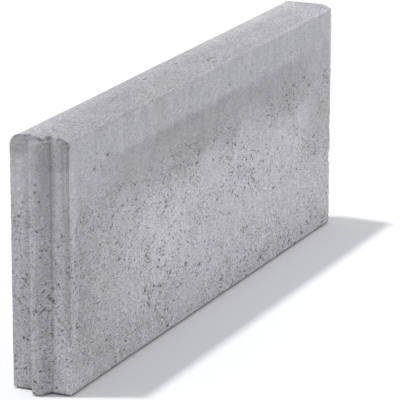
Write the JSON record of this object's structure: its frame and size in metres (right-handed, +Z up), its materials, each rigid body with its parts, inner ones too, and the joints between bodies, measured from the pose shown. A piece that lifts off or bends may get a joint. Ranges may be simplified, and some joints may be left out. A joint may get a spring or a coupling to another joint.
{
  "type": "concrete garden kerb stone",
  "caption": "Slim grey concrete kerb stone, bevelled on one top edge and rounded on the other, with a tongue on one end and a groove on the other.",
  "frame": {"origin": "centre of the bed face of the block, tongue left out", "axes": "+X along the kerb from the tongue end to the groove end, +Y from the show face to the rear face, +Z up"},
  "size_m": [0.51, 0.05, 0.2],
  "materials": {
    "concrete": "dry cast concrete, matt and finely pitted"
  },
  "bodies": {
    "root": {"kerb_stone": "concrete"}
  },
  "joints": []
}
